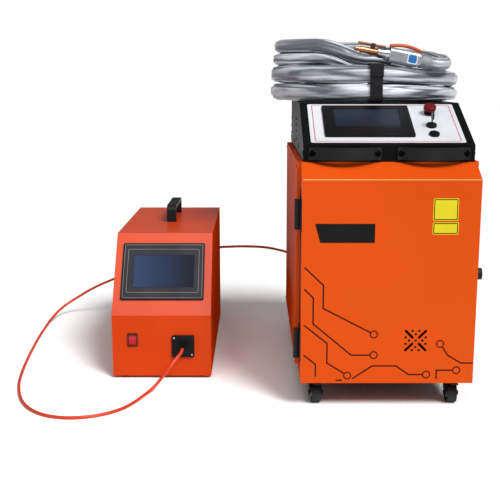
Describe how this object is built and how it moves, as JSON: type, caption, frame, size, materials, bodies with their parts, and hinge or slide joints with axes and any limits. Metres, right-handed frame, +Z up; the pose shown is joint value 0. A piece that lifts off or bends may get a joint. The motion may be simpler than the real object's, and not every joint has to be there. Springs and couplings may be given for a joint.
{
  "type": "laser welding machine",
  "caption": "Orange laser welding cabinet on casters with a sloping touch console, a coiled umbilical and handheld gun on top, and a separate wire feeder joined by a thin conduit.",
  "frame": {"origin": "centre of the bounding box of cabinet and feeder at floor level, the coil, its strap and the wire conduit left out", "axes": "+X from the wire feeder towards the cabinet, to the right as seen from the front; +Y from the door towards the rear panel; +Z up"},
  "size_m": [1.3685, 1.0505, 0.9859],
  "materials": {
    "orange_paint": "satin powder coat",
    "dark_orange_paint": "satin powder coat",
    "feeder_paint": "satin powder coat",
    "black_paint": "fine textured powder coat",
    "white_label": "satin film",
    "screen_black": "glossy",
    "feeder_bezel": "satin",
    "black_plastic": "matte",
    "dark_rubber": "matte",
    "red_plastic": "gloss",
    "steel": "zinc plated",
    "dark_steel": "black coated",
    "brass": "plain",
    "aluminium": "satin",
    "copper": "copper coloured",
    "tank_plastic": "translucent white",
    "compressor_iron": "painted black",
    "sleeve_fabric": "nylon, silvery",
    "dark_fabric": "woven",
    "conduit_plastic": "satin",
    "spool_wire": "wound wire"
  },
  "bodies": {
    "machine": {"base_frame": "dark_orange_paint", "left_cover": "dark_orange_paint", "right_cover": "dark_orange_paint", "rear_panel": "dark_orange_paint", "hinge_leaves": "dark_steel", "console_shell": "black_paint", "console_label": "white_label", "hmi_unit": "screen_black", "console_handles": "black_plastic", "panel_screws": "dark_steel", "estop_base": "black_plastic", "key_switch": "black_plastic", "start_ring": "black_plastic", "fan_frame": "black_plastic", "rear_glands": "black_plastic", "gas_inlet": "brass", "umbilical_gland": "black_plastic", "laser_source": "aluminium", "power_supply": "aluminium", "water_tank": "tank_plastic", "compressor": "compressor_iron", "condenser": "aluminium", "caster_plates": "dark_steel", "gun_body": "aluminium", "gun_nozzle": "copper", "gun_collar": "steel", "gun_wire_tube": "black_plastic", "gun_sleeve": "dark_fabric", "umbilical_coil": "sleeve_fabric", "coil_strap": "dark_fabric", "feeder_shell": "feeder_paint", "feeder_screen": "feeder_bezel", "feeder_handle": "black_plastic", "feeder_fittings": "black_plastic", "feeder_feet": "dark_rubber", "feed_drive": "steel", "wire_conduit": "conduit_plastic"},
    "door": {"door_panel": "orange_paint", "door_hinges": "dark_steel"},
    "latch": {"latch_knob": "black_plastic"},
    "estop": {"estop_button": "red_plastic"},
    "key": {"key": "steel"},
    "start": {"start_button": "steel"},
    "fan": {"fan_rotor": "black_plastic"},
    "trigger": {"gun_trigger": "steel"},
    "feeder_rocker": {"feeder_rocker": "red_plastic"},
    "feeder_door": {"feeder_door": "feeder_paint"},
    "spool": {"wire_spool": "spool_wire"},
    "drive_roller": {"drive_roller": "steel"},
    "pressure_arm": {"pressure_arm": "steel"},
    "fork_front_left": {"fork_front_left": "dark_steel"},
    "wheel_front_left": {"wheel_front_left": "dark_rubber"},
    "fork_front_right": {"fork_front_right": "dark_steel"},
    "wheel_front_right": {"wheel_front_right": "dark_rubber"},
    "fork_rear_left": {"fork_rear_left": "dark_steel"},
    "wheel_rear_left": {"wheel_rear_left": "dark_rubber"},
    "fork_rear_right": {"fork_rear_right": "dark_steel"},
    "wheel_rear_right": {"wheel_rear_right": "dark_rubber"},
    "pedal_left": {"pedal_left": "dark_steel"},
    "pedal_right": {"pedal_right": "dark_steel"}
  },
  "joints": [
    {"name": "door_hinge", "type": "hinge", "parent": "machine", "child": "door", "pos_m": [0.0295, -0.4445, 0.35], "axis": [0, 0, -1], "range_deg": [0, 110]},
    {"name": "latch_turn", "type": "hinge", "parent": "door", "child": "latch", "pos_m": [0.5085, -0.4655, 0.367], "axis": [1, 0, 0], "range_deg": [0, 90]},
    {"name": "estop_press", "type": "slide", "parent": "machine", "child": "estop", "axis": [0, 0.432, -0.9019], "range_m": [0, 0.005]},
    {"name": "key_turn", "type": "hinge", "parent": "machine", "child": "key", "pos_m": [0.3945, -0.32873, 0.75265], "axis": [0, 0.432, -0.9019], "range_deg": [0, 90]},
    {"name": "start_press", "type": "slide", "parent": "machine", "child": "start", "axis": [0, 0.432, -0.9019], "range_m": [0, 0.0025], "stiffness_N_per_m": 500, "springref_m": -0.003},
    {"name": "fan_spin", "type": "hinge", "parent": "machine", "child": "fan", "pos_m": [0.3285, 0.2845, 0.222], "axis": [0, 1, 0], "continuous": true},
    {"name": "trigger_press", "type": "slide", "parent": "machine", "child": "trigger", "axis": [0.1802, 0.0273, 0.9833], "range_m": [0, 0.003], "stiffness_N_per_m": 400, "springref_m": -0.003},
    {"name": "rocker_tip", "type": "hinge", "parent": "machine", "child": "feeder_rocker", "pos_m": [-0.4415, -0.2445, 0.118], "axis": [1, 0, 0], "range_deg": [0, 16]},
    {"name": "feeder_door_hinge", "type": "hinge", "parent": "machine", "child": "feeder_door", "pos_m": [-0.5065, 0.42625, 0.2], "axis": [0, 0, -1], "range_deg": [0, 90]},
    {"name": "spool_turn", "type": "hinge", "parent": "machine", "child": "spool", "pos_m": [-0.3335, 0.2145, 0.215], "axis": [1, 0, 0], "continuous": true},
    {"name": "drive_turn", "type": "hinge", "parent": "machine", "child": "drive_roller", "pos_m": [-0.2935, -0.1055, 0.0814], "axis": [1, 0, 0], "continuous": true},
    {"name": "arm_lift", "type": "hinge", "parent": "machine", "child": "pressure_arm", "pos_m": [-0.2935, -0.0595, 0.1166], "axis": [-1, 0, 0], "range_deg": [0, 35]},
    {"name": "swivel_front_left", "type": "hinge", "parent": "machine", "child": "fork_front_left", "pos_m": [0.0835, -0.4095, 0.06], "axis": [0, 0, 1], "continuous": true},
    {"name": "roll_front_left", "type": "hinge", "parent": "fork_front_left", "child": "wheel_front_left", "pos_m": [0.0835, -0.4315, 0.026], "axis": [1, 0, 0], "continuous": true},
    {"name": "swivel_front_right", "type": "hinge", "parent": "machine", "child": "fork_front_right", "pos_m": [0.4535, -0.4095, 0.06], "axis": [0, 0, 1], "continuous": true},
    {"name": "roll_front_right", "type": "hinge", "parent": "fork_front_right", "child": "wheel_front_right", "pos_m": [0.4535, -0.4315, 0.026], "axis": [1, 0, 0], "continuous": true},
    {"name": "swivel_rear_left", "type": "hinge", "parent": "machine", "child": "fork_rear_left", "pos_m": [0.0835, 0.2545, 0.06], "axis": [0, 0, 1], "continuous": true},
    {"name": "roll_rear_left", "type": "hinge", "parent": "fork_rear_left", "child": "wheel_rear_left", "pos_m": [0.0835, 0.2765, 0.026], "axis": [1, 0, 0], "continuous": true},
    {"name": "swivel_rear_right", "type": "hinge", "parent": "machine", "child": "fork_rear_right", "pos_m": [0.4535, 0.2545, 0.06], "axis": [0, 0, 1], "continuous": true},
    {"name": "roll_rear_right", "type": "hinge", "parent": "fork_rear_right", "child": "wheel_rear_right", "pos_m": [0.4535, 0.2765, 0.026], "axis": [1, 0, 0], "continuous": true},
    {"name": "brake_left", "type": "hinge", "parent": "fork_front_left", "child": "pedal_left", "pos_m": [0.0835, -0.434, 0.06325], "axis": [1, 0, 0], "range_deg": [0, 12]},
    {"name": "brake_right", "type": "hinge", "parent": "fork_front_right", "child": "pedal_right", "pos_m": [0.4535, -0.434, 0.06325], "axis": [1, 0, 0], "range_deg": [0, 12]}
  ]
}
